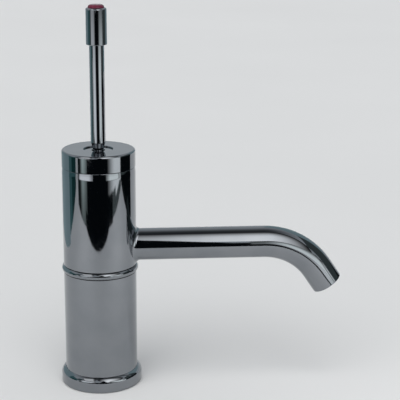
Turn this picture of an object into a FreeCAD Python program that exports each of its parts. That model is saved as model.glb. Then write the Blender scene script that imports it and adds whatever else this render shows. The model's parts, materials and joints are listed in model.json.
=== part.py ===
"""Deck-mounted single-hole mixer tap with a stick handle and a swivelling bent spout.

Frame: millimetres, +Z up, origin where the tap's axis meets the deck, spout along +X.
The brass valve body stands inside chromed shells. A ceramic-disc cartridge sits in its top.
The handle tilts towards the spout to open the water and turns about +Z to mix it.
"""
import FreeCAD
import Part
import math
import os
import re
import Sketcher

SIZES = {
    # Shells of the body
    "body_diameter": 50,         # outside of the cap, the swivel sleeve and the pedestal
    "shell_wall": 2,             # wall of the pedestal and the sleeve
    "base_diameter": 56,
    "base_height": 10.5,         # deck to the upper edge of the base ring, at the pedestal
    "base_fall": 1.35,           # how much its top slopes down towards the outside
    "base_ledge": 4,             # deck to the ledge that carries the pedestal
    "base_rounding": 4.8,        # shoulder of the base ring
    "base_foot_rounding": 0.9,   # its edge at the deck
    "pedestal_height": 80.6,     # deck to the underside of the bead
    "bead_diameter": 52.4,
    "bead_height": 5.2,
    "bead_rounding": 2.5,
    "seam_height": 154.8,        # deck to the lower edge of the cap
    "cap_height": 11.5,
    "cap_rounding": 1.5,
    "cap_web": 0.8,              # thickness of the cap's top
    "cap_seat": 0.5,             # width of the shoulder on which the cap sits
    "sleeve_rounding": 0.4,      # top edge of the swivel sleeve
    "sleeve_crown_height": 3.2,  # band below that edge that is drawn in a little
    "sleeve_crown_depth": 0.45,
    "sleeve_crown_radius": 20,   # where the band runs into the straight wall
    "sleeve_lip": 2,             # thickness of the lip that keeps the sleeve down
    "opening_diameter": 20,      # round opening in the cap's top
    "opening_rounding": 0.4,
    # Clearances
    "fit_gap": 0.05,             # parts that are fixed to each other
    "bearing_gap": 0.1,          # glide rings and other running faces
    "swivel_gap": 0.3,           # free space between parts that turn past each other
    "lever_gap": 0.4,            # free space round the tilting lever
    # Spout
    "spout_height": 98.5,        # deck to the spout's axis
    "spout_diameter": 22,
    "spout_wall": 1.2,
    "spout_straight": 113.5,     # tap axis to the start of the bend
    "spout_bend_radius": 46,
    "spout_bend_angle": 56,
    "spout_tail": 13,            # straight length after the bend
    "spout_lip_rounding": 0.5,
    "spout_root_rounding": 3,
    "stub_reach": 31,            # tap axis to the joint between sleeve and tube
    "spigot_length": 6,          # part of the stub that the tube slides over
    "port_diameter": 12,         # water way through the stub
    "swivel_limit": 60,          # degrees to each side
    # Aerator
    "aerator_recess": 0.8,
    "aerator_length": 9,
    "aerator_wall": 1.35,
    "aerator_ledge": 1,
    "aerator_washer": 1.5,
    "washer_width": 2.6,
    "jet_plate_thickness": 1.5,
    "jet_diameter": 1.2,
    "jet_circle_diameter": 11,
    "jet_count": 12,
    "straw_length": 5,
    "straw_diameter": 2.2,
    "straw_pitch": 2.8,
    "notch_width": 2.4,
    "notch_depth": 1.2,
    "notch_count": 4,
    # Handle
    "stick_length": 70.4,        # cap face to the underside of the knob
    "stick_diameter": 10,
    "stick_socket": 2,           # depth to which the stick enters the knob
    "neck_diameter": 7.6,
    "neck_height": 1,            # cap face to the start of the taper
    "taper_height": 3.6,
    "knob_diameter": 14,
    "knob_height": 24.3,
    "knob_rounding": 1.3,
    "knob_foot_rounding": 0.5,
    "knob_thread_diameter": 6,
    "knob_thread_length": 12,
    "marker_diameter": 11,
    "marker_thickness": 3.5,
    "marker_proud": 2,         # how far the marker stands out of the knob
    "marker_rounding": 1.9,
    # Lever mechanism
    "pivot_depth": 14,           # cap face to the tilt axis
    "tilt_limit": 20,            # degrees
    "turn_limit": 45,            # degrees to each side
    "lever_arm": 13.2,           # tilt axis to the ball that drives the discs
    "ball_diameter": 6,
    "shank_diameter": 4,
    "pivot_boss": 6.3,           # half height of the thick part round the tilt axis
    "lever_thread_diameter": 4,
    "lever_thread_length": 9,
    "tilt_pin_diameter": 3,
    "plate_thickness": 0.8,
    "plate_gap": 0.15,
    "plate_overlap": 0.9,
    "plate_hole_diameter": 9.2,
    # Cartridge
    "cartridge_diameter": 35,
    "cartridge_wall": 2.1,
    "cartridge_floor": 4,
    "cartridge_rim": 2.5,        # depth to which the fixed disc is sunk in the base
    "fixed_disc_diameter": 28,
    "fixed_disc_thickness": 5,
    "moving_disc_diameter": 25.2,
    "moving_disc_thickness": 4.5,
    "moving_disc_offset": 2,
    "mixing_diameter": 10.6,     # hollow under the moving disc
    "mixing_depth": 2.5,
    "mixing_offset": 3.8,
    "carriage_thickness": 6.5,
    "carriage_width": 18,
    "carriage_floor": 1.5,
    "socket_cover": 1.4,         # rim of the socket above the middle of the ball
    "rotor_rise": 0.5,           # free height between carriage and rotor
    "rotor_flange": 3.5,
    "rotor_diameter": 23,
    "rail_width": 2.9,
    "rail_length": 15,
    "stop_lug_width": 2.4,
    "stop_lug_height": 1.5,
    "housing_lip": 2.7,
    # Valve body
    "foot_diameter": 44,
    "foot_height": 8,
    "column_diameter": 34,
    "shoulder_drop": 4,          # pedestal top to the start of the neck
    "neck_drop": 4.8,            # seam to the top of the neck
    "neck_spigot_diameter": 41,
    "neck_spigot_height": 4,
    "gallery_diameter": 40,      # floor of the water gallery round the neck
    "seal_section": 2.4,
    "seal_spread": 8.9,          # spout axis to each sleeve seal
    "seal_groove_play": 0.4,
    "inlet_offset": 4.2,
    "inlet_spacing": 13.6,
    "inlet_bore": 7,
    "inlet_thread_diameter": 9,  # wall of the tapped inlet, for M10 x 1
    "inlet_thread_length": 12,
    "stud_offset": 10.5,
    "stud_thread_diameter": 6.8,  # wall of the tapped stud hole, for M8
    "stud_thread_length": 14,
    "outlet_offset": 8,
    "outlet_bore": 7.2,
    "gallery_feed_bore": 8,
    "disc_port_diameter": 5.2,
    "base_port_diameter": 6,
    "port_seal_width": 1.4,
    "port_seal_thickness": 1.2,
    "nut_thread_diameter": 37.2,
    "nut_flange": 2.5,
    "nut_boss": 6.5,
    "nut_wall": 3.2,
    "spanner_slot_width": 3,
    "spanner_slot_depth": 2,
    "spanner_slot_count": 4,
    "stop_pin_diameter": 3,
    "stop_pin_depth": 3.6,
    "stop_pin_proud": 0.7,
    "stop_pin_height": 131,
    "stop_slot_depth": 1.1,
    "deck_seal_diameter": 50.4,  # middle of the seal under the base ring
    "deck_seal_width": 2.4,
    "deck_seal_thickness": 1.5,
    "glide_thickness": 1.5,
}

# Levels and radii that follow from the sizes
LEVELS = {
    "body_radius": "body_diameter / 2",
    "shell_bore": "body_radius - shell_wall",
    "neck_radius": "shell_bore - swivel_gap",
    "neck_spigot_radius": "neck_spigot_diameter / 2",
    "bead_top": "pedestal_height + bead_height",
    "sleeve_bottom": "bead_top + swivel_gap",
    "sleeve_top": "seam_height - swivel_gap",
    "cap_top": "seam_height + cap_height",
    "cap_ceiling": "cap_top - cap_web",
    "plate_top": "cap_ceiling - plate_gap",
    "plate_bottom": "plate_top - plate_thickness",
    "rotor_top": "plate_bottom - plate_gap",
    "pivot_level": "cap_top - pivot_depth",
    "ball_level": "pivot_level - lever_arm",
    "carriage_top": "ball_level + socket_cover",
    "carriage_bottom": "carriage_top - carriage_thickness",
    "moving_bottom": "carriage_bottom - moving_disc_thickness",
    "fixed_bottom": "moving_bottom - fixed_disc_thickness",
    "seat_level": "fixed_bottom - cartridge_floor",
    "cartridge_joint": "fixed_bottom + cartridge_rim",
    "cartridge_radius": "cartridge_diameter / 2",
    "cartridge_bore": "cartridge_radius - cartridge_wall",
    "rotor_bottom": "carriage_top + rotor_rise",
    "rotor_flange_top": "rotor_bottom + rotor_flange",
    "rotor_radius": "rotor_diameter / 2",
    "lip_level": "rotor_flange_top + swivel_gap",
    "housing_top": "lip_level + housing_lip",
    "lip_bore": "rotor_radius + swivel_gap",
    "neck_top": "seam_height - neck_drop",
    "neck_step": "neck_top - neck_spigot_height",
    "sleeve_lip_bottom": "neck_step + swivel_gap",
    "sleeve_lip_top": "sleeve_lip_bottom + sleeve_lip",
    "nut_top": "neck_top + nut_flange + nut_boss",
    "nut_bore": "cap_thread - nut_wall",
    "plate_travel": "((plate_top + plate_bottom) / 2 - pivot_level) * tan(tilt_limit)",
    "plate_radius": "opening_diameter / 2 + plate_travel + plate_overlap",
    "cap_bore": "plate_radius + plate_travel + lever_gap",
    "cap_thread": "cap_bore + cap_seat",
    "lever_radius": "neck_diameter / 2",
    "lever_sweep": "(rotor_top - pivot_level) * tan(tilt_limit) + lever_radius / cos(tilt_limit)",
    "ball_sweep": "lever_arm * sin(tilt_limit) + ball_diameter / 2",
    "slot_reach": "max(lever_sweep; ball_sweep) + lever_gap",
    "slot_width": "max(neck_diameter; ball_diameter) + 2 * lever_gap",
    "stick_bottom": "pivot_level + pivot_boss",
    "taper_bottom": "cap_top + neck_height",
    "taper_top": "taper_bottom + taper_height",
    "knob_bottom": "cap_top + stick_length",
    "knob_top": "knob_bottom + knob_height",
    "marker_top": "knob_top + marker_proud",
    "marker_bottom": "marker_top - marker_thickness",
    "stick_top": "knob_bottom + stick_socket",
    "knob_thread_top": "stick_top + knob_thread_length",
    "groove_width": "seal_section + seal_groove_play",
    "seal_radius": "shell_bore - fit_gap - seal_section / 2",
    "groove_floor": "seal_radius - seal_section / 2 - fit_gap",
    "lower_seal": "spout_height - seal_spread",
    "upper_seal": "spout_height + seal_spread",
    "gallery_bottom": "spout_height - port_diameter / 2",
    "gallery_top": "spout_height + port_diameter / 2",
    "spout_radius": "spout_diameter / 2",
    "spout_bore": "spout_radius - spout_wall",
    "spigot_radius": "spout_bore - fit_gap",
    "outlet_x": "spout_straight + spout_bend_radius * sin(spout_bend_angle)"
                " + spout_tail * cos(spout_bend_angle)",
    "outlet_z": "spout_height - spout_bend_radius * (1 - cos(spout_bend_angle))"
                " - spout_tail * sin(spout_bend_angle)",
    "aerator_radius": "spout_bore - fit_gap",
    "aerator_bore": "aerator_radius - aerator_wall",
    "insert_radius": "aerator_bore - fit_gap",
    "deck_seal_inner": "deck_seal_diameter / 2 - deck_seal_width / 2",
    "deck_seal_outer": "deck_seal_diameter / 2 + deck_seal_width / 2",
    "stop_pin_radius": "stop_pin_diameter / 2",
    "counterbore": "base_port_diameter / 2 + port_seal_width",
}

SHEET = "Sizes"
VERTICAL = FreeCAD.Rotation()
ALONG_X = FreeCAD.Rotation(FreeCAD.Vector(0, 1, 0), 90)
ALONG_MINUS_X = FreeCAD.Rotation(FreeCAD.Vector(0, 1, 0), -90)
ALONG_Y = FreeCAD.Rotation(FreeCAD.Vector(1, 0, 0), -90)
HALF_TURN = FreeCAD.Rotation(FreeCAD.Vector(0, 1, 0), 180)
HEXAGON = "6"
NEAR = 1e-3

doc = FreeCAD.newDocument("mixer_tap")
sheet = doc.addObject("Spreadsheet::Sheet", SHEET)
parts = []


def fill_sheet():
    """One row for each driving size: its name, and its value under an alias."""
    for row, (name, value) in enumerate(SIZES.items(), start=1):
        sheet.set(f"A{row}", name)
        sheet.set(f"B{row}", str(value))
        sheet.setAlias(f"B{row}", name)
    doc.recompute()


def expand(formula):
    """The formula with its levels written out and its sizes read from the sheet."""
    def cell(match):
        word = match.group()
        if word in LEVELS:
            return "(" + expand(LEVELS[word]) + ")"
        return f"{SHEET}.{word}" if word in SIZES else word
    return re.sub(r"[a-z_]+", cell, formula)


def number(formula):
    """The formula's present value in millimetres or degrees."""
    value = sheet.evalExpression(expand(formula))
    return float(getattr(value, "Value", value))


def bind(feature, **formulas):
    """Ties the feature's properties to formulas of the sheet's sizes."""
    for name, formula in formulas.items():
        feature.setExpression(name, expand(formula))


def locate(feature, at, turn=VERTICAL):
    """Turns the feature and ties its position to three formulas."""
    feature.Placement = FreeCAD.Placement(FreeCAD.Vector(), turn)
    for axis, formula in zip("xyz", at):
        feature.setExpression(f"Placement.Base.{axis}", expand(formula))


def named(kind, label):
    """A new object of the document that becomes one node of the assembly."""
    thing = doc.addObject(kind, label)
    thing.Label = label
    parts.append(thing)
    return thing


def origin_part(body, role):
    """The body's own origin plane or axis with that role."""
    return next(item for item in body.Origin.OriginFeatures if item.Role == role)


def sketch_on(body, role, name):
    """An empty sketch on one of the body's origin planes."""
    sketch = body.newObject("Sketcher::SketchObject", name)
    sketch.AttachmentSupport = [(origin_part(body, role), "")]
    sketch.MapMode = "FlatFace"
    return sketch


def fix_point(sketch, geometry, end, across, up):
    """Dimensions one point of the sketch from its origin, or sets it on an axis for "0"."""
    for kind, axis, formula in (("DistanceX", -2, across), ("DistanceY", -1, up)):
        if formula == "0":
            sketch.addConstraint(Sketcher.Constraint("PointOnObject", geometry, end, axis))
            continue
        value = number(formula)
        index = sketch.addConstraint(Sketcher.Constraint(kind, -1, 1, geometry, end, value))
        sketch.setExpression(f"Constraints[{index}]", expand(formula))


def fix_radius(sketch, geometry, formula):
    """Dimensions one circle or arc of the sketch."""
    index = sketch.addConstraint(Sketcher.Constraint("Radius", geometry, number(formula)))
    sketch.setExpression(f"Constraints[{index}]", expand(formula))


def polygon(body, name, outline):
    """A closed outline in the XZ plane, given as (radius, level) formulas."""
    sketch = sketch_on(body, "XZ_Plane", name)
    points = [FreeCAD.Vector(number(across), number(up), 0) for across, up in outline]
    last = len(points) - 1
    for index, point in enumerate(points):
        sketch.addGeometry(Part.LineSegment(point, points[0 if index == last else index + 1]))
    for index, (across, up) in enumerate(outline):
        following = 0 if index == last else index + 1
        sketch.addConstraint(Sketcher.Constraint("Coincident", index, 2, following, 1))
        fix_point(sketch, index, 1, across, up)
    return sketch


def revolve(body, kind, name, outline):
    """Adds or cuts the outline turned about the vertical axis."""
    sketch = polygon(body, name + "_outline", outline)
    feature = body.newObject(f"PartDesign::{kind}", name)
    feature.Profile = sketch
    feature.ReferenceAxis = (sketch, ["V_Axis"])
    feature.Angle = 360
    return feature


def turned(label, outline):
    """A body turned from one outline."""
    body = named("PartDesign::Body", label)
    revolve(body, "Revolution", label + "_turned", outline)
    return body


def ring(label, inner, outer, bottom, top):
    """A plain turned ring."""
    return turned(label, [(inner, bottom), (outer, bottom), (outer, top), (inner, top)])


def shape(body, kind, name, at, turn=VERTICAL, **formulas):
    """A primitive added to the body or cut from it."""
    feature = body.newObject(f"PartDesign::{kind}", name)
    locate(feature, at, turn)
    bind(feature, **formulas)
    return feature


def bore(body, name, at, diameter, depth, turn=VERTICAL):
    """A round hole that starts at a point."""
    return shape(body, "SubtractiveCylinder", name, at, turn, Radius=f"({diameter}) / 2", Height=depth)


def block(body, kind, name, middle, size):
    """A box about the middle of its lower face, added or cut."""
    length, width, height = size
    corner = (f"({middle[0]}) - ({length}) / 2", f"({middle[1]}) - ({width}) / 2", middle[2])
    return shape(body, kind, name, corner, Length=length, Width=width, Height=height)


def repeat(body, feature, count):
    """Repeats a feature evenly about the body's own axis."""
    pattern = body.newObject("PartDesign::PolarPattern", feature.Name + "_ring")
    pattern.Originals = [feature]
    pattern.Axis = (origin_part(body, "Z_Axis"), [""])
    pattern.Angle = 360
    bind(pattern, Occurrences=count)
    body.Tip = pattern
    return pattern


def fillet(body, radius, chosen):
    """Rounds the edges of the body's last feature that the test picks."""
    doc.recompute()
    base = body.Tip
    edges = [f"Edge{index}" for index, edge in enumerate(base.Shape.Edges, start=1) if chosen(edge)]
    if not edges:
        raise RuntimeError(f"{body.Label}: no edge to round")
    feature = body.newObject("PartDesign::Fillet", body.Label + "_rounding")
    feature.Base = (base, edges)
    bind(feature, Radius=radius)
    return feature


def rim(radius, level):
    """A test for the circle about the vertical axis with that radius and level."""
    wanted_radius, wanted_level = number(radius), number(level)

    def chosen(edge):
        if not isinstance(edge.Curve, Part.Circle):
            return False
        off = abs(edge.Curve.Radius - wanted_radius) + abs(edge.Curve.Center.z - wanted_level)
        return off < NEAR
    return chosen


def arc_cut(body, name, inner, outer, bottom, top, angle):
    """A groove over part of a turn, centred on the side away from the spout."""
    doc.recompute()
    cut = revolve(body, "Groove", name, [(inner, bottom), (outer, bottom), (outer, top), (inner, top)])
    outline, _ = cut.Profile
    outline.AttachmentOffset = FreeCAD.Placement(FreeCAD.Vector(), HALF_TURN)
    cut.Midplane = True
    bind(cut, Angle=angle)
    return cut


def water_ways():
    """Position of the two inlets and the outlet in plan."""
    inlet = "inlet_spacing / 2"
    return {
        "hot": ("-inlet_offset", inlet),
        "cold": ("-inlet_offset", f"-({inlet})"),
        "outlet": ("outlet_offset", "0"),
    }


# Base and pedestal

def make_base_ring():
    """Chromed ring at the deck, with a groove for the deck seal and a ledge for the pedestal."""
    bottom_of_groove = "deck_seal_thickness + fit_gap"
    inner = "foot_diameter / 2 + fit_gap"
    seat = "body_radius + fit_gap"
    body = turned("base_ring", [
        (inner, "0"),
        ("deck_seal_inner - fit_gap", "0"),
        ("deck_seal_inner - fit_gap", bottom_of_groove),
        ("deck_seal_outer + fit_gap", bottom_of_groove),
        ("deck_seal_outer + fit_gap", "0"),
        ("base_diameter / 2", "0"),
        ("base_diameter / 2", "base_height - base_fall"),
        (seat, "base_height"),
        (seat, "base_ledge"),
        (inner, "base_ledge"),
    ])
    top_width = "(base_diameter / 2 - body_radius - fit_gap)"
    slope = f"sqrt({top_width} * {top_width} + base_fall * base_fall)"
    room = f"{slope} * {top_width} / ({slope} - base_fall) - fit_gap"
    fillet(body, f"min(base_rounding; {room})", rim("base_diameter / 2", "base_height - base_fall"))
    fillet(body, "base_foot_rounding", rim("base_diameter / 2", "0"))


def make_pedestal():
    """Deck seal, pedestal tube and the half-round bead that closes it."""
    ring("deck_seal", "deck_seal_inner", "deck_seal_outer", "0", "deck_seal_thickness")
    ring("pedestal_tube", "shell_bore", "body_radius", "base_ledge", "pedestal_height")
    bead = ring("bead_ring", "neck_radius + fit_gap", "bead_diameter / 2", "pedestal_height", "bead_top")
    top = rim("bead_diameter / 2", "bead_top")
    bottom = rim("bead_diameter / 2", "pedestal_height")
    fillet(bead, "min(bead_rounding; bead_height / 2 - fit_gap)", lambda edge: top(edge) or bottom(edge))


# Valve body

def make_valve_body():
    """Brass body: foot, column and neck, with the cartridge chamber in its top."""
    half_groove = "groove_width / 2"
    outline = [
        ("0", "0"),
        ("foot_diameter / 2", "0"),
        ("foot_diameter / 2", "foot_height"),
        ("column_diameter / 2", "foot_height"),
        ("column_diameter / 2", "pedestal_height - shoulder_drop"),
        ("neck_radius", "pedestal_height - shoulder_drop"),
    ]
    grooves = (
        ("groove_floor", f"lower_seal - {half_groove}", f"lower_seal + {half_groove}"),
        ("gallery_diameter / 2", "gallery_bottom", "gallery_top"),
        ("groove_floor", f"upper_seal - {half_groove}", f"upper_seal + {half_groove}"),
    )
    for floor, bottom, top in grooves:
        outline += [("neck_radius", bottom), (floor, bottom), (floor, top), ("neck_radius", top)]
    chamber = "cartridge_radius + fit_gap"
    thread = "nut_thread_diameter / 2 + fit_gap"
    outline += [
        ("neck_radius", "neck_step"),
        ("neck_spigot_radius", "neck_step"),
        ("neck_spigot_radius", "neck_top"),
        (thread, "neck_top"),
        (thread, "housing_top"),
        (chamber, "housing_top"),
        (chamber, "seat_level"),
        ("0", "seat_level"),
    ]
    body = turned("valve_body", outline)
    ways = water_ways()
    for name in ("hot", "cold"):
        start = (*ways[name], "0")
        bore(body, f"{name}_riser", start, "inlet_bore", "seat_level")
        bore(body, f"{name}_thread", start, "inlet_thread_diameter", "inlet_thread_length")
    bore(body, "stud_thread", ("stud_offset", "0", "0"), "stud_thread_diameter", "stud_thread_length")
    bore(body, "outlet_riser", (*ways["outlet"], "spout_height"), "outlet_bore", "seat_level - spout_height")
    bore(body, "gallery_feed", ("outlet_offset - outlet_bore / 2", "0", "spout_height"),
         "gallery_feed_bore", "neck_radius", ALONG_X)
    bore(body, "stop_pin_hole", ("stop_pin_depth - neck_radius", "0", "stop_pin_height"),
         "stop_pin_diameter + 2 * fit_gap", "neck_radius", ALONG_MINUS_X)


def make_neck_seals():
    """Rubber rings above and below the water gallery, and the glide rings of the sleeve."""
    for label, level in (("lower_sleeve_seal", "lower_seal"), ("upper_sleeve_seal", "upper_seal")):
        seal = named("Part::Torus", label)
        bind(seal, Radius1="seal_radius", Radius2="seal_section / 2")
        locate(seal, ("0", "0", level))
    inner = "neck_radius + fit_gap"
    outer = "body_radius - shell_wall / 2 - bearing_gap"
    ring("lower_glide_ring", inner, outer, "bead_top", "bead_top + glide_thickness")
    ring("upper_glide_ring", "neck_spigot_radius + fit_gap", "shell_bore - swivel_gap",
         "sleeve_lip_top + bearing_gap", "neck_top")


def make_stop_pin():
    """Steel pin in the neck that limits how far the spout swings."""
    pin = named("Part::Cylinder", "swivel_stop_pin")
    bind(pin, Radius="stop_pin_radius", Height="stop_pin_depth + swivel_gap + stop_pin_proud - fit_gap")
    locate(pin, ("stop_pin_depth - neck_radius - fit_gap", "0", "stop_pin_height"), ALONG_MINUS_X)


# Spout

def make_spout_sleeve():
    """Swivelling sleeve with the stub that carries the spout tube."""
    crown_edge = "body_radius - sleeve_crown_depth"
    crown_bottom = "sleeve_top - sleeve_crown_height"
    blank_bottom = "min(sleeve_bottom; spout_height - spout_radius) - 2 * spout_root_rounding"
    body = turned("spout_sleeve", [
        ("neck_spigot_radius", blank_bottom),
        ("body_radius", blank_bottom),
        ("body_radius", crown_bottom),
        (crown_edge, "sleeve_top"),
        ("neck_spigot_radius", "sleeve_top"),
    ])
    fillet(body, "sleeve_crown_radius", rim("body_radius", crown_bottom))
    fillet(body, "sleeve_rounding", rim(crown_edge, "sleeve_top"))
    axis = ("0", "0", "spout_height")
    shape(body, "AdditiveCylinder", "stub", ("neck_spigot_radius", "0", "spout_height"), ALONG_X,
          Radius="spout_radius", Height="stub_reach - neck_spigot_radius")
    fillet(body, "spout_root_rounding", at_spout_root())
    revolve(body, "Groove", "sleeve_foot", [
        ("0", blank_bottom),
        ("stub_reach", blank_bottom),
        ("stub_reach", "sleeve_bottom"),
        ("0", "sleeve_bottom"),
    ])
    shape(body, "AdditiveCylinder", "spigot", axis, ALONG_X,
          Radius="spigot_radius", Height="stub_reach + spigot_length")
    step = "body_radius - shell_wall / 2"
    step_top = "bead_top + glide_thickness + bearing_gap"
    lip = "neck_spigot_radius + swivel_gap"
    revolve(body, "Groove", "sleeve_bore", [
        ("0", "sleeve_bottom"),
        (step, "sleeve_bottom"),
        (step, step_top),
        ("shell_bore", step_top),
        ("shell_bore", "sleeve_lip_bottom"),
        (lip, "sleeve_lip_bottom"),
        (lip, "sleeve_lip_top"),
        ("shell_bore", "sleeve_lip_top"),
        ("shell_bore", "sleeve_top"),
        ("0", "sleeve_top"),
    ])
    bore(body, "port", axis, "port_diameter", "stub_reach + spigot_length", ALONG_X)
    play = "stop_pin_radius + swivel_gap"
    arc_cut(body, "stop_slot", "neck_spigot_radius", "shell_bore + stop_slot_depth",
            f"stop_pin_height - ({play})", f"stop_pin_height + {play}",
            f"2 * (swivel_limit * 1 deg + asin(({play}) / shell_bore))")


def at_spout_root():
    """A test for the seam between the sleeve's outside and the stub."""
    sleeve, stub, level = number("body_radius"), number("spout_radius"), number("spout_height")

    def on_seam(point):
        from_axis = abs((point.x ** 2 + point.y ** 2) ** 0.5 - sleeve)
        from_spout = abs((point.y ** 2 + (point.z - level) ** 2) ** 0.5 - stub)
        return point.x > 0 and from_axis < NEAR and from_spout < NEAR

    return lambda edge: all(on_seam(point) for point in edge.discretize(5))


def make_spout_tube():
    """Bent tube, drawn as a ring swept along straight, arc and straight."""
    body = named("PartDesign::Body", "spout_tube")
    level, start = number("spout_height"), number("stub_reach")
    bend, radius = number("spout_straight"), number("spout_bend_radius")
    foot = FreeCAD.Vector(bend, level, 0)
    path = sketch_on(body, "XZ_Plane", "spout_path")
    path.addGeometry(Part.LineSegment(FreeCAD.Vector(start, level, 0), foot))
    circle = Part.Circle(foot - FreeCAD.Vector(0, radius, 0), FreeCAD.Vector(0, 0, 1), radius)
    bend_end = math.radians(90 - number("spout_bend_angle"))
    arc = Part.ArcOfCircle(circle, bend_end, math.radians(90))
    path.addGeometry(arc)
    outlet = FreeCAD.Vector(number("outlet_x"), number("outlet_z"), 0)
    path.addGeometry(Part.LineSegment(outlet, arc.StartPoint))
    fix_point(path, 0, 1, "stub_reach", "spout_height")
    fix_point(path, 0, 2, "spout_straight", "spout_height")
    path.addConstraint(Sketcher.Constraint("Tangent", 0, 2, 1, 2))
    path.addConstraint(Sketcher.Constraint("Tangent", 1, 1, 2, 2))
    fix_radius(path, 1, "spout_bend_radius")
    fix_point(path, 2, 1, "outlet_x", "outlet_z")
    section = sketch_on(body, "YZ_Plane", "spout_section")
    section.setExpression("AttachmentOffset.Base.z", expand("stub_reach"))
    for index, size in enumerate(("spout_radius", "spout_bore")):
        centre = FreeCAD.Vector(0, level, 0)
        section.addGeometry(Part.Circle(centre, FreeCAD.Vector(0, 0, 1), number(size)))
        fix_point(section, index, 3, "0", "spout_height")
        fix_radius(section, index, size)
    pipe = body.newObject("PartDesign::AdditivePipe", "spout_bent")
    pipe.Profile = section
    pipe.Spine = (path, [])
    doc.recompute()

    mouth, outside = FreeCAD.Vector(outlet.x, 0, outlet.y), number("spout_radius")

    def at_lip(edge):
        if not isinstance(edge.Curve, Part.Circle):
            return False
        return abs(edge.Curve.Radius - outside) + (edge.Curve.Center - mouth).Length < NEAR
    fillet(body, "spout_lip_rounding", at_lip)


def at_outlet(body, inset):
    """Stands the body inside the spout's end, facing out, its back face that far in."""
    body.Placement = FreeCAD.Placement(FreeCAD.Vector(), ALONG_X)
    body.setExpression("Placement.Rotation.Angle", expand("90 + spout_bend_angle"))
    body.setExpression("Placement.Base.x", expand(f"outlet_x - ({inset}) * cos(spout_bend_angle)"))
    body.setExpression("Placement.Base.z", expand(f"outlet_z + ({inset}) * sin(spout_bend_angle)"))


def make_aerator():
    """Threaded ring, rubber washer, jet plate and flow straightener in the spout's end."""
    inset = "aerator_recess + aerator_length"
    shell = turned("aerator_ring", [
        ("aerator_bore", "0"),
        ("aerator_radius", "0"),
        ("aerator_radius", "aerator_length"),
        ("aerator_bore - aerator_ledge", "aerator_length"),
        ("aerator_bore - aerator_ledge", "aerator_length - aerator_ledge"),
        ("aerator_bore", "aerator_length - aerator_ledge"),
    ])
    notch_place = ("aerator_radius", "0", "aerator_length - notch_depth")
    notch = block(shell, "SubtractiveBox", "key_notch", notch_place,
                  ("2 * (aerator_wall + aerator_ledge + notch_depth)", "notch_width", "notch_depth"))
    repeat(shell, notch, "notch_count")
    at_outlet(shell, inset)

    washer = ring("aerator_washer", "aerator_radius - washer_width", "aerator_radius", "0", "aerator_washer")
    at_outlet(washer, f"{inset} + aerator_washer")

    plate = named("PartDesign::Body", "jet_plate")
    shape(plate, "AdditiveCylinder", "jet_disc", ("0", "0", "0"),
          Radius="insert_radius", Height="jet_plate_thickness")
    jet = bore(plate, "jet", ("jet_circle_diameter / 2", "0", "0"), "jet_diameter", "jet_plate_thickness")
    repeat(plate, jet, "jet_count")
    at_outlet(plate, inset)

    straws = named("PartDesign::Body", "flow_straightener")
    shape(straws, "AdditiveCylinder", "straw_disc", ("0", "0", "0"),
          Radius="insert_radius", Height="straw_length")
    bore(straws, "straw_middle", ("0", "0", "0"), "straw_diameter", "straw_length")
    rows = (("straw_pitch", "0"), ("2 * straw_pitch", "0"), ("1.5 * straw_pitch", "straw_pitch * sin(60)"))
    for index, (across, along) in enumerate(rows):
        straw = bore(straws, f"straw_{index}", (across, along, "0"), "straw_diameter", "straw_length")
        repeat(straws, straw, HEXAGON)
    at_outlet(straws, "aerator_recess + aerator_ledge + straw_length")


# Cartridge

def make_cartridge_base():
    """Plastic base with three ports, rubber port seals under it and a recess for the fixed disc."""
    recess = "fixed_disc_diameter / 2 + fit_gap"
    body = turned("cartridge_base", [
        ("0", "seat_level"),
        ("cartridge_radius", "seat_level"),
        ("cartridge_radius", "cartridge_joint"),
        (recess, "cartridge_joint"),
        (recess, "fixed_bottom"),
        ("0", "fixed_bottom"),
    ])
    seals = []
    for name, (across, along) in water_ways().items():
        start = (across, along, "seat_level")
        bore(body, f"{name}_port", start, "base_port_diameter", "cartridge_floor")
        bore(body, f"{name}_recess", start, "2 * counterbore", "port_seal_thickness")
        outside = doc.addObject("Part::Cylinder", f"{name}_seal_outside")
        bind(outside, Radius="counterbore - fit_gap", Height="port_seal_thickness")
        locate(outside, start)
        hole = doc.addObject("Part::Cylinder", f"{name}_seal_hole")
        bind(hole, Radius="base_port_diameter / 2", Height="port_seal_thickness")
        locate(hole, start)
        seal = doc.addObject("Part::Cut", f"{name}_seal")
        seal.Base = outside
        seal.Tool = hole
        seals.append(seal)
    group = named("Part::Compound", "port_seals")
    group.Links = seals


def make_discs():
    """Fixed ceramic disc with three ports, and the moving one with the mixing hollow."""
    fixed = named("PartDesign::Body", "fixed_disc")
    shape(fixed, "AdditiveCylinder", "fixed_disc_blank", ("0", "0", "fixed_bottom"),
          Radius="fixed_disc_diameter / 2", Height="fixed_disc_thickness")
    for name, (across, along) in water_ways().items():
        bore(fixed, f"{name}_disc_port", (across, along, "fixed_bottom"), "disc_port_diameter",
             "fixed_disc_thickness")
    moving = named("PartDesign::Body", "moving_disc")
    shape(moving, "AdditiveCylinder", "moving_disc_blank", ("moving_disc_offset", "0", "moving_bottom"),
          Radius="moving_disc_diameter / 2", Height="moving_disc_thickness")
    bore(moving, "mixing_hollow", ("mixing_offset", "0", "moving_bottom"), "mixing_diameter", "mixing_depth")


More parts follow.
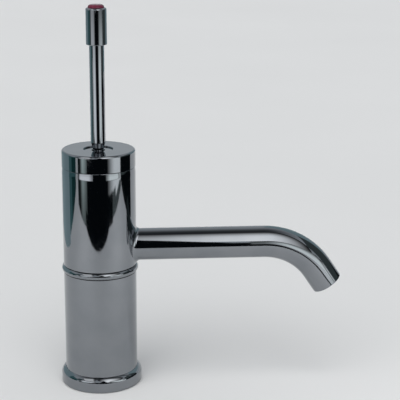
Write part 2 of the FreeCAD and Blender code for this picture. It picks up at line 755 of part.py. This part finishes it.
def make_carriage():
    """Plastic carriage on the moving disc, with flat sides and a socket for the lever's ball."""
    body = named("PartDesign::Body", "disc_carriage")
    shape(body, "AdditiveCylinder", "carriage_blank", ("moving_disc_offset", "0", "carriage_bottom"),
          Radius="moving_disc_diameter / 2", Height="carriage_thickness")
    socket_place = ("0", "0", "carriage_bottom + carriage_floor")
    bore(body, "ball_socket", socket_place, "ball_diameter + 2 * bearing_gap",
         "carriage_thickness - carriage_floor")
    for side in ("", "-"):
        block(body, "SubtractiveBox", "carriage_flat",
              ("moving_disc_offset", f"{side}carriage_width", "carriage_bottom"),
              ("moving_disc_diameter", "carriage_width", "carriage_thickness"))


def make_housing():
    """Plastic housing of the cartridge, with an arc in its lip that limits the turn."""
    body = turned("cartridge_housing", [
        ("cartridge_bore", "cartridge_joint"),
        ("cartridge_radius", "cartridge_joint"),
        ("cartridge_radius", "housing_top"),
        ("lip_bore", "housing_top"),
        ("lip_bore", "lip_level"),
        ("cartridge_bore", "lip_level"),
    ])
    play = "stop_lug_width / 2 + bearing_gap"
    arc_cut(body, "turn_slot", "rotor_radius", "lip_bore + stop_lug_height", "lip_level", "housing_top",
            f"2 * (turn_limit * 1 deg + asin(({play}) / lip_bore))")


def make_rotor():
    """Plastic rotor that carries the tilt pin and turns the carriage between two rails."""
    body = turned("lever_rotor", [
        ("0", "rotor_bottom"),
        ("cartridge_bore - swivel_gap", "rotor_bottom"),
        ("cartridge_bore - swivel_gap", "rotor_flange_top"),
        ("rotor_radius", "rotor_flange_top"),
        ("rotor_radius", "rotor_top"),
        ("0", "rotor_top"),
    ])
    rail_bottom = "carriage_bottom + swivel_gap"
    for side in ("", "-"):
        middle = f"{side}(carriage_width / 2 + swivel_gap + rail_width / 2)"
        block(body, "AdditiveBox", "rail", ("0", middle, rail_bottom),
              ("rail_length", "rail_width", f"rotor_bottom - ({rail_bottom}) + rotor_flange / 2"))
    block(body, "AdditiveBox", "stop_lug", ("-rotor_radius", "0", "rotor_flange_top"),
          ("2 * stop_lug_height", "stop_lug_width", "housing_lip + swivel_gap"))
    block(body, "SubtractiveBox", "lever_slot", ("0", "0", "rotor_bottom"),
          ("2 * slot_reach", "slot_width", "rotor_top - rotor_bottom"))
    bore(body, "pin_hole", ("0", "-rotor_radius", "pivot_level"), "tilt_pin_diameter + 2 * fit_gap",
         "rotor_diameter", ALONG_Y)
    pin = named("Part::Cylinder", "tilt_pin")
    bind(pin, Radius="tilt_pin_diameter / 2", Height="rotor_diameter - 2 * lever_gap")
    locate(pin, ("0", "lever_gap - rotor_radius", "pivot_level"), ALONG_Y)


def make_nut():
    """Brass nut that clamps the cartridge and carries the cap on its boss."""
    flange_top = "neck_top + nut_flange"
    boss = "cap_thread - fit_gap"
    body = turned("cartridge_nut", [
        ("lip_bore + stop_lug_height", "housing_top"),
        ("nut_thread_diameter / 2", "housing_top"),
        ("nut_thread_diameter / 2", "neck_top"),
        ("shell_bore - swivel_gap", "neck_top"),
        ("shell_bore - swivel_gap", flange_top),
        (boss, flange_top),
        (boss, "nut_top"),
        ("nut_bore", "nut_top"),
        ("nut_bore", flange_top),
        ("lip_bore + stop_lug_height", flange_top),
    ])
    slot = block(body, "SubtractiveBox", "spanner_slot", ("cap_thread", "0", "nut_top - spanner_slot_depth"),
                 ("2 * (nut_wall + lever_gap)", "spanner_slot_width", "spanner_slot_depth"))
    repeat(body, slot, "spanner_slot_count")


def make_cap():
    """Chromed cap with a thin top and a round opening, and the sliding plate that closes it."""
    cap = turned("cap", [
        ("cap_thread", "seam_height"),
        ("body_radius", "seam_height"),
        ("body_radius", "cap_top"),
        ("opening_diameter / 2", "cap_top"),
        ("opening_diameter / 2", "cap_ceiling"),
        ("cap_bore", "cap_ceiling"),
        ("cap_bore", "nut_top"),
        ("cap_thread", "nut_top"),
    ])
    fillet(cap, "cap_rounding", rim("body_radius", "cap_top"))
    fillet(cap, "min(opening_rounding; cap_web - fit_gap)", rim("opening_diameter / 2", "cap_top"))
    ring("cover_plate", "plate_hole_diameter / 2", "plate_radius", "plate_bottom", "plate_top")


# Handle

def make_spindle():
    """Steel lever inside the rotor: ball, shank, pivot boss and thread."""
    body = named("PartDesign::Body", "lever_spindle")
    middle = ("0", "0", "ball_level")
    shape(body, "AdditiveCylinder", "shank", middle, Radius="shank_diameter / 2", Height="lever_arm")
    shape(body, "AdditiveSphere", "ball", middle, Radius="ball_diameter / 2")
    shape(body, "AdditiveCylinder", "pivot_boss_round", ("0", "0", "pivot_level - pivot_boss"),
          Radius="lever_radius", Height="2 * pivot_boss")
    shape(body, "AdditiveCylinder", "lever_thread", ("0", "0", "pivot_level"),
          Radius="lever_thread_diameter / 2", Height="pivot_boss + lever_thread_length")
    bore(body, "pivot_hole", ("0", "-neck_diameter", "pivot_level"), "tilt_pin_diameter + 2 * bearing_gap",
         "2 * neck_diameter", ALONG_Y)


def make_stick():
    """Chromed stick: thin neck, taper, straight rod and the thread for the knob."""
    socket = "lever_thread_diameter / 2 + fit_gap"
    rod = "stick_diameter / 2"
    thread = "knob_thread_diameter / 2"
    socket_top = "stick_bottom + lever_thread_length + lever_gap"
    turned("handle_stick", [
        (socket, "stick_bottom"),
        ("lever_radius", "stick_bottom"),
        ("lever_radius", "taper_bottom"),
        (rod, "taper_top"),
        (rod, "stick_top"),
        (thread, "stick_top"),
        (thread, "knob_thread_top"),
        ("0", "knob_thread_top"),
        ("0", socket_top),
        (socket, socket_top),
    ])


def make_knob():
    """Chromed knob with a rounded top edge and a red button let into its top."""
    outside = "knob_diameter / 2"
    socket = "stick_diameter / 2 + fit_gap"
    thread = "knob_thread_diameter / 2 + fit_gap"
    recess = "marker_diameter / 2 + fit_gap"
    thread_end = "knob_thread_top + fit_gap"
    knob = turned("knob", [
        (socket, "knob_bottom"),
        (outside, "knob_bottom"),
        (outside, "knob_top"),
        (recess, "knob_top"),
        (recess, "marker_bottom"),
        ("0", "marker_bottom"),
        ("0", thread_end),
        (thread, thread_end),
        (thread, "stick_top"),
        (socket, "stick_top"),
    ])
    fillet(knob, f"min(knob_rounding; {outside} - ({recess}) - fit_gap)", rim(outside, "knob_top"))
    fillet(knob, "knob_foot_rounding", rim(outside, "knob_bottom"))
    marker = named("PartDesign::Body", "colour_marker")
    shape(marker, "AdditiveCylinder", "marker_blank", ("0", "0", "marker_bottom"),
          Radius="marker_diameter / 2", Height="marker_thickness")
    fillet(marker, "min(marker_rounding; marker_proud - fit_gap)", rim("marker_diameter / 2", "marker_top"))


def check_document():
    """Stops on a failed object, a cut that removes nothing, or a node that is not sound."""
    for item in doc.Objects:
        if "Invalid" in item.State or "Error" in item.State:
            raise RuntimeError(f"{item.Label}: {item.State}")
        base = getattr(item, "BaseFeature", None)
        if base is None or not item.isDerivedFrom("PartDesign::Feature"):
            continue
        if abs(base.Shape.Volume - item.Shape.Volume) < NEAR:
            raise RuntimeError(f"{item.Label}: changes nothing")
    for part in parts:
        if part.Shape.isNull() or not part.Shape.isValid() or not part.Shape.Solids:
            raise RuntimeError(f"{part.Label}: no sound solid")


def write_parts():
    """One file for each node."""
    os.makedirs("parts", exist_ok=True)
    for part in parts:
        part.Shape.exportStep(f"parts/{part.Label}.step")
        box = part.Shape.BoundBox
        print(f"{part.Label}: {len(part.Shape.Solids)} solid, {part.Shape.Volume:.0f} mm3,"
              f" z {box.ZMin:.2f} to {box.ZMax:.2f}")


fill_sheet()
make_base_ring()
make_pedestal()
make_valve_body()
make_neck_seals()
make_stop_pin()
make_spout_sleeve()
make_spout_tube()
make_aerator()
make_cartridge_base()
make_discs()
make_carriage()
make_housing()
make_rotor()
make_nut()
make_cap()
make_spindle()
make_stick()
make_knob()
doc.recompute()
check_document()
write_parts()
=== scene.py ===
"""Mixer tap dressed for the library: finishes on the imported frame, a pale table and a studio for chrome."""
import json
import math
import bpy
from mathutils import Matrix, Vector

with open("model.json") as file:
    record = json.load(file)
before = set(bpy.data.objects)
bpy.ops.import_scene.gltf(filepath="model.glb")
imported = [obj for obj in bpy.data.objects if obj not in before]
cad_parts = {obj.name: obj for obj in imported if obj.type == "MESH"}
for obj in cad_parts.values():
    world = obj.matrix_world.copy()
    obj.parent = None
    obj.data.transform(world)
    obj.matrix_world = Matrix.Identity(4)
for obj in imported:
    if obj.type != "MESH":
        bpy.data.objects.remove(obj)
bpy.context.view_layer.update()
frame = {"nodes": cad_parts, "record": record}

# Camera, as fitted to the rims and edges of the tap in the photograph
CAMERA_PLACE = Vector((-0.00331, -0.83468, 0.36036))
CAMERA_PITCH = math.radians(15.432)
CAMERA_SWING = math.radians(4.95)
CAMERA_ROLL = math.radians(0.296)
CAMERA_LENS = 113.996
SENSOR_WIDTH = 36.0

TABLE_COLOUR = (0.84, 0.83, 0.82)
TABLE_WIDTH = 60.0
TABLE_DROP = 0.0002     # keeps the table's face clear of the underside of the tap

# Places round the tap: angle in degrees from the camera's side, distance and height
OVERHEAD_LOW_END = (0.0, 1.05, 0.40)
OVERHEAD_HIGH_END = (0.0, 0.02, 1.40)
KEY_PLACE = (-12.0, 0.6, 1.0)
LEFT_POOL_PLACE = (-42.0, 0.35, 1.2)
RIGHT_POOL_PLACE = (58.0, 0.35, 1.2)

KEY_STRENGTH = 1.6
KEY_SPREAD = math.radians(60.0)
POOL_POWER = 14.0
POOL_SPREAD = math.radians(21.0)
POOL_LAMP_RADIUS = 0.12

UPWARDS = Vector((0.0, 0.0, 1.0))


def plain_nodes(name):
    """A new node material with its shader, ready to be wired."""
    finish = bpy.data.materials.new(name)
    finish.use_nodes = True
    tree = finish.node_tree
    return finish, tree.nodes, tree.links, tree.nodes["Principled BSDF"]


def surface_noise(nodes, links, scale, detail=3.0, stretch=(1.0, 1.0, 1.0)):
    """Noise in the piece's own coordinates."""
    place = nodes.new("ShaderNodeTexCoord")
    turn = nodes.new("ShaderNodeMapping")
    turn.inputs["Scale"].default_value = stretch
    noise = nodes.new("ShaderNodeTexNoise")
    noise.inputs["Scale"].default_value = scale
    noise.inputs["Detail"].default_value = detail
    links.new(place.outputs["Object"], turn.inputs["Vector"])
    links.new(turn.outputs["Vector"], noise.inputs["Vector"])
    return noise.outputs["Fac"]


def shade_between(nodes, links, value, dark, light, low=0.35, high=0.65):
    """A colour that runs from dark to light as the value rises."""
    ramp = nodes.new("ShaderNodeValToRGB")
    ramp.color_ramp.elements[0].position = low
    ramp.color_ramp.elements[1].position = high
    ramp.color_ramp.elements[0].color = (*dark, 1.0)
    ramp.color_ramp.elements[1].color = (*light, 1.0)
    links.new(value, ramp.inputs["Fac"])
    return ramp.outputs["Color"]


def range_between(nodes, links, value, low, high):
    """A number that runs from low to high as the value goes from 0.3 to 0.7."""
    spread = nodes.new("ShaderNodeMapRange")
    spread.inputs["From Min"].default_value = 0.3
    spread.inputs["From Max"].default_value = 0.7
    spread.inputs["To Min"].default_value = low
    spread.inputs["To Max"].default_value = high
    links.new(value, spread.inputs["Value"])
    return spread.outputs["Result"]


def raise_by(nodes, links, shader, value, strength, distance):
    """Fine relief on the surface."""
    bump = nodes.new("ShaderNodeBump")
    bump.inputs["Strength"].default_value = strength
    bump.inputs["Distance"].default_value = distance
    links.new(value, bump.inputs["Height"])
    links.new(bump.outputs["Normal"], shader.inputs["Normal"])


def polished_chrome():
    """Chrome plating with a faint haze and a fine grain in its gloss."""
    finish, nodes, links, shader = plain_nodes("polished_chrome")
    haze = surface_noise(nodes, links, 55.0, 4.0)
    grain = surface_noise(nodes, links, 900.0, 2.0)
    links.new(shade_between(nodes, links, haze, (0.248, 0.264, 0.284), (0.272, 0.287, 0.306)),
              shader.inputs["Base Color"])
    links.new(range_between(nodes, links, grain, 0.025, 0.06), shader.inputs["Roughness"])
    shader.inputs["Metallic"].default_value = 1.0
    return finish


def turned_metal(name, dark, light, rough_low, rough_high):
    """Bare metal with the fine rings that a lathe leaves."""
    finish, nodes, links, shader = plain_nodes(name)
    rings = surface_noise(nodes, links, 260.0, 2.0, (0.15, 0.15, 8.0))
    patches = surface_noise(nodes, links, 70.0, 4.0)
    links.new(shade_between(nodes, links, patches, dark, light), shader.inputs["Base Color"])
    links.new(range_between(nodes, links, rings, rough_low, rough_high), shader.inputs["Roughness"])
    raise_by(nodes, links, shader, rings, 0.15, 0.0001)
    shader.inputs["Metallic"].default_value = 1.0
    return finish


def moulded(name, dark, light, grain_scale, rough_low, rough_high, relief, gloss=0.5):
    """Plastic, rubber or ceramic with a slight mottle and a fine skin."""
    finish, nodes, links, shader = plain_nodes(name)
    mottle = surface_noise(nodes, links, grain_scale / 6.0, 4.0)
    skin = surface_noise(nodes, links, grain_scale, 2.0)
    links.new(shade_between(nodes, links, mottle, dark, light), shader.inputs["Base Color"])
    links.new(range_between(nodes, links, skin, rough_low, rough_high), shader.inputs["Roughness"])
    shader.inputs["Specular IOR Level"].default_value = gloss
    raise_by(nodes, links, shader, skin, relief, 0.00005)
    return finish


FINISHES = {
    "chrome": polished_chrome(),
    "brass": turned_metal("turned_brass", (0.66, 0.49, 0.23), (0.76, 0.59, 0.31), 0.18, 0.36),
    "steel": turned_metal("turned_steel", (0.50, 0.50, 0.49), (0.60, 0.60, 0.59), 0.2, 0.38),
    "rubber": moulded("seal_rubber", (0.022, 0.022, 0.025), (0.04, 0.04, 0.043), 1800.0, 0.5, 0.75, 0.3),
    "glide_plastic": moulded("white_acetal", (0.74, 0.74, 0.70), (0.84, 0.84, 0.80), 1200.0, 0.3, 0.5, 0.1),
    "cartridge_plastic": moulded("dark_cartridge_plastic", (0.16, 0.18, 0.21), (0.24, 0.26, 0.29), 1500.0,
                                 0.4, 0.6, 0.2),
    "disc_ceramic": moulded("lapped_ceramic", (0.80, 0.78, 0.74), (0.88, 0.86, 0.82), 2200.0,
                            0.12, 0.25, 0.05),
    "marker_red": moulded("red_marker_plastic", (0.115, 0.014, 0.034), (0.165, 0.022, 0.048), 600.0,
                          0.16, 0.28, 0.05, 0.25),
}


def dress_the_frame():
    """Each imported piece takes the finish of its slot."""
    for row in frame["record"]["subparts"]:
        piece = frame["nodes"][row["node"]]
        piece.data.materials.clear()
        piece.data.materials.append(FINISHES[row["material_slot"]])


# Table, cards and lamps

TOWARDS_CAMERA = Vector((-math.sin(CAMERA_SWING), -math.cos(CAMERA_SWING), 0.0))
TO_THE_RIGHT = Vector((math.cos(CAMERA_SWING), -math.sin(CAMERA_SWING), 0.0))


def around(angle, distance, height):
    """A point round the tap: angle in degrees from the camera's side, to the right in the picture."""
    turn = math.radians(angle)
    flat = math.cos(turn) * TOWARDS_CAMERA + math.sin(turn) * TO_THE_RIGHT
    return flat * distance + UPWARDS * height


def table_finish():
    """Pale matt table top."""
    finish, nodes, links, shader = plain_nodes("pale_table")
    mottle = surface_noise(nodes, links, 3.0, 2.0)
    darker = tuple(0.985 * part for part in TABLE_COLOUR)
    links.new(shade_between(nodes, links, mottle, darker, TABLE_COLOUR), shader.inputs["Base Color"])
    shader.inputs["Roughness"].default_value = 0.9
    shader.inputs["Specular IOR Level"].default_value = 0.1
    return finish


def card_finish(name, colour, strength=1.0, fade=None, least=0.0):
    """An evenly lit studio card, a dark flag, or a lamp panel that fades towards its edges.

    fade gives the share of the card over which each edge fades: left, right, foot, head. least is the share
    of the strength that is left at the edge itself.
    """
    finish = bpy.data.materials.new(name)
    finish.use_nodes = True
    nodes, links = finish.node_tree.nodes, finish.node_tree.links
    nodes.clear()
    glow = nodes.new("ShaderNodeEmission")
    glow.inputs["Color"].default_value = (*colour, 1.0)
    glow.inputs["Strength"].default_value = strength
    if fade:
        links.new(faded(nodes, links, strength, fade, least), glow.inputs["Strength"])
    out = nodes.new("ShaderNodeOutputMaterial")
    links.new(glow.outputs["Emission"], out.inputs["Surface"])
    return finish


def faded(nodes, links, strength, fade, least):
    """The strength of a lamp panel at each point of it."""
    left, right, foot, head = fade
    place = nodes.new("ShaderNodeTexCoord")
    split = nodes.new("ShaderNodeSeparateXYZ")
    links.new(place.outputs["UV"], split.inputs["Vector"])
    level = None
    edges = ("X", 0.0, left), ("X", 1.0, 1.0 - right), ("Y", 0.0, foot), ("Y", 1.0, 1.0 - head)
    for axis, start, stop in edges:
        edge = nodes.new("ShaderNodeMapRange")
        edge.interpolation_type = "SMOOTHSTEP"
        edge.inputs["From Min"].default_value = start
        edge.inputs["From Max"].default_value = stop
        full = strength if level is None else 1.0
        edge.inputs["To Min"].default_value = least * full
        edge.inputs["To Max"].default_value = full
        links.new(split.outputs[axis], edge.inputs["Value"])
        if level is None:
            level = edge.outputs["Result"]
            continue
        both = nodes.new("ShaderNodeMath")
        both.operation = "MULTIPLY"
        links.new(level, both.inputs[0])
        links.new(edge.outputs["Result"], both.inputs[1])
        level = both.outputs["Value"]
    return level


def lay_table():
    """The plain table that the tap stands on."""
    bpy.ops.object.select_all(action="DESELECT")
    bpy.ops.mesh.primitive_plane_add(size=TABLE_WIDTH, location=(0.0, 0.0, -TABLE_DROP))
    table = bpy.context.object
    table.name = "table_top"
    table.data.materials.append(table_finish())


def foot_of_card(left, right):
    """Middle, direction and width of a card's foot between two points round the tap."""
    one, other = around(*left, 0.0), around(*right, 0.0)
    return (one + other) / 2.0, (other - one).normalized(), (other - one).length


def stand_card(name, left, right, bottom, top, finish):
    """An upright card between two points round the tap, each an angle and a distance."""
    foot, across, width = foot_of_card(left, right)
    bpy.ops.object.select_all(action="DESELECT")
    bpy.ops.mesh.primitive_plane_add(size=1.0)
    place_card(name, foot + UPWARDS * (bottom + top) / 2.0, across, UPWARDS, width, top - bottom, finish)


def peaked_card(name, left, right, top, finish):
    """A three-cornered card on the table: its foot between two points round the tap, its peak above.

    The new circle of three corners is the root of 3 wide and 1.5 high, with its middle a third of the way up.
    """
    foot, across, width = foot_of_card(left, right)
    bpy.ops.object.select_all(action="DESELECT")
    bpy.ops.mesh.primitive_circle_add(vertices=3, radius=1.0, fill_type="NGON")
    place_card(name, foot + UPWARDS * top / 3.0, across, UPWARDS, width / math.sqrt(3.0), top / 1.5, finish)


def overhead_panel(name, left, right, finish):
    """An oval lamp panel from low in front to nearly above the tap, between two distances to the right."""
    low, high = around(*OVERHEAD_LOW_END), around(*OVERHEAD_HIGH_END)
    middle = (low + high) / 2.0 + TO_THE_RIGHT * (left + right) / 2.0
    rise = high - low
    bpy.ops.object.select_all(action="DESELECT")
    bpy.ops.mesh.primitive_circle_add(vertices=96, radius=0.5, fill_type="NGON")
    place_card(name, middle, TO_THE_RIGHT, rise.normalized(), right - left, rise.length, finish)


def place_card(name, middle, across, up, width, height, finish):
    """The flat card just made goes to its place, where it is seen only in the chrome."""
    card = bpy.context.object
    card.name = name
    card.location = middle
    card.rotation_euler = Matrix((across, up, across.cross(up))).transposed().to_euler()
    card.scale = (width, height, 1.0)
    card.visible_camera = False
    card.visible_diffuse = False
    card.visible_transmission = False
    card.visible_shadow = False
    card.data.materials.append(finish)


def set_flags():
    """The dark room that the chrome mirrors in front and at the sides, and the paler walls behind."""
    black = card_finish("black_flag", (0.004, 0.006, 0.008))
    dark = card_finish("dark_flag", (0.02, 0.03, 0.03))
    teal = card_finish("teal_flag", (0.07, 0.115, 0.12))
    sea_teal = card_finish("sea_teal_flag", (0.08, 0.18, 0.19))
    deep_teal = card_finish("deep_teal_flag", (0.015, 0.06, 0.06))
    grey = card_finish("grey_flag", (0.11, 0.13, 0.13))
    mist = card_finish("mist_card", (0.08, 0.10, 0.10))
    slate = card_finish("slate_card", (0.32, 0.43, 0.46))
    stand_card("low_front_flag", (-36.0, 0.421), (37.0, 0.432), 0.0, 0.018, black)
    stand_card("centre_flag", (-31.0, 0.40), (31.5, 0.40), 0.0, 0.078, black)
    stand_card("far_front_flag", (-31.0, 0.69), (34.0, 0.71), 0.0, 0.19, black)
    peaked_card("front_peak_flag", (-4.0, 0.70), (22.2, 0.70), 0.74, black)
    stand_card("right_wing_flag", (28.6, 0.418), (46.0, 0.435), 0.0, 0.033, black)
    stand_card("right_grey_flag", (45.0, 0.450), (56.5, 0.474), 0.0, 0.027, grey)
    stand_card("right_low_flag", (56.5, 0.474), (75.0, 0.572), 0.0, 0.017, grey)
    stand_card("left_side_flag", (-97.0, 0.375), (-69.0, 0.58), 0.0, 0.26, sea_teal)
    stand_card("left_deep_flag", (-85.0, 0.425), (-69.5, 0.565), 0.0, 0.09, deep_teal)
    stand_card("left_edge_flag", (-61.0, 0.504), (-55.0, 0.472), 0.0, 0.27, dark)
    stand_card("left_upper_flag", (-73.0, 0.51), (-57.0, 0.47), 0.15, 0.42, teal)
    stand_card("right_side_flag", (75.0, 0.60), (118.0, 0.43), 0.0, 0.13, black)
    stand_card("right_side_card", (75.0, 0.60), (118.0, 0.43), 0.13, 0.42, mist)
    stand_card("right_back_card", (117.0, 0.43), (160.0, 0.43), 0.15, 0.45, slate)
    stand_card("left_slate_card", (-148.0, 0.40), (-96.0, 0.35), 0.0, 0.34, slate)


def set_lamp_panels():
    """The lamp panels that the chrome mirrors, left, right and overhead."""
    left = card_finish("left_lamp_panel", (0.85, 1.0, 0.97), 1.9, (0.4, 0.85, 0.7, 0.45))
    right = card_finish("right_lamp_panel", (0.97, 1.0, 1.0), 1.4, (0.55, 0.04, 0.08, 0.4))
    left_upper = card_finish("left_upper_lamp_panel", (0.97, 0.98, 1.0), 1.65, (0.2, 0.3, 0.05, 0.75), 0.33)
    right_upper = card_finish("right_upper_lamp_panel", (0.95, 1.0, 0.985), 1.65, (0.3, 0.2, 0.05, 0.6), 0.2)
    right_overhead = card_finish("right_overhead_lamp_panel", (1.0, 1.0, 1.0), 2.8, (0.35, 1.0, 0.05, 0.6))
    left_overhead = card_finish("left_overhead_lamp_panel", (1.0, 1.0, 1.0), 1.2, (0.2, 0.2, 0.05, 0.3))
    stand_card("left_panel", (-55.0, 0.472), (-21.8, 0.417), -0.06, 0.27, left)
    stand_card("right_panel", (27.0, 0.460), (74.0, 0.575), 0.0, 0.21, right)
    stand_card("left_upper_panel", (-58.0, 0.46), (-13.0, 0.405), 0.076, 0.24, left_upper)
    stand_card("right_upper_panel", (26.0, 0.42), (70.0, 0.50), 0.076, 0.225, right_upper)
    overhead_panel("right_overhead_panel", -0.12, 1.4, right_overhead)
    overhead_panel("left_overhead_panel", -0.9, -0.22, left_overhead)


def hang_lamp(name, kind, place, energy):
    """A lamp at its place, looking straight down until it is turned, that isn't mirrored in the chrome."""
    lamp = bpy.data.lights.new(name, kind)
    lamp.energy = energy
    holder = bpy.data.objects.new(name, lamp)
    bpy.context.scene.collection.objects.link(holder)
    holder.location = place
    holder.visible_glossy = False
    return holder


def light_the_table():
    """Broad soft light from above and in front, and a soft pool of light on the table at each side."""
    key = hang_lamp("soft_key", "SUN", around(*KEY_PLACE), KEY_STRENGTH)
    key.data.angle = KEY_SPREAD
    key.rotation_euler = (-key.location).to_track_quat("-Z", "Y").to_euler()
    for name, place in (("left_pool", LEFT_POOL_PLACE), ("right_pool", RIGHT_POOL_PLACE)):
        pool = hang_lamp(name, "SPOT", around(*place), POOL_POWER)
        pool.data.spot_size = POOL_SPREAD
        pool.data.spot_blend = 1.0
        pool.data.shadow_soft_size = POOL_LAMP_RADIUS


def paint_the_walls():
    """Pale walls that darken towards the ceiling."""
    world = bpy.data.worlds.new("studio_walls")
    world.use_nodes = True
    bpy.context.scene.world = world
    nodes, links = world.node_tree.nodes, world.node_tree.links
    place = nodes.new("ShaderNodeTexCoord")
    split = nodes.new("ShaderNodeSeparateXYZ")
    ramp = nodes.new("ShaderNodeValToRGB")
    stops = ramp.color_ramp.elements
    stops[0].position = 0.0
    stops[0].color = (0.53, 0.575, 0.605, 1.0)
    stops[1].position = 1.0
    stops[1].color = (0.04, 0.045, 0.05, 1.0)
    for level, grey in ((0.72, 0.54), (0.87, 0.30), (0.95, 0.11)):
        stops.new(level).color = (0.95 * grey, grey, 1.05 * grey, 1.0)
    links.new(place.outputs["Generated"], split.inputs["Vector"])
    links.new(split.outputs["Z"], ramp.inputs["Fac"])
    links.new(ramp.outputs["Color"], nodes["Background"].inputs["Color"])


def set_camera():
    """The camera that took the photograph."""
    lens = bpy.data.cameras.new("photo_camera")
    lens.lens = CAMERA_LENS
    lens.sensor_width = SENSOR_WIDTH
    camera = bpy.data.objects.new("photo_camera", lens)
    bpy.context.scene.collection.objects.link(camera)
    flat = math.cos(CAMERA_PITCH)
    forward = Vector((flat * math.sin(CAMERA_SWING), flat * math.cos(CAMERA_SWING),
                      -math.sin(CAMERA_PITCH)))
    look = forward.to_track_quat("-Z", "Y").to_matrix() @ Matrix.Rotation(CAMERA_ROLL, 3, "Z")
    camera.rotation_euler = look.to_euler()
    camera.location = CAMERA_PLACE
    bpy.context.scene.camera = camera


dress_the_frame()
lay_table()
set_flags()
set_lamp_panels()
light_the_table()
paint_the_walls()
set_camera()
bpy.context.scene.view_settings.view_transform = "Standard"
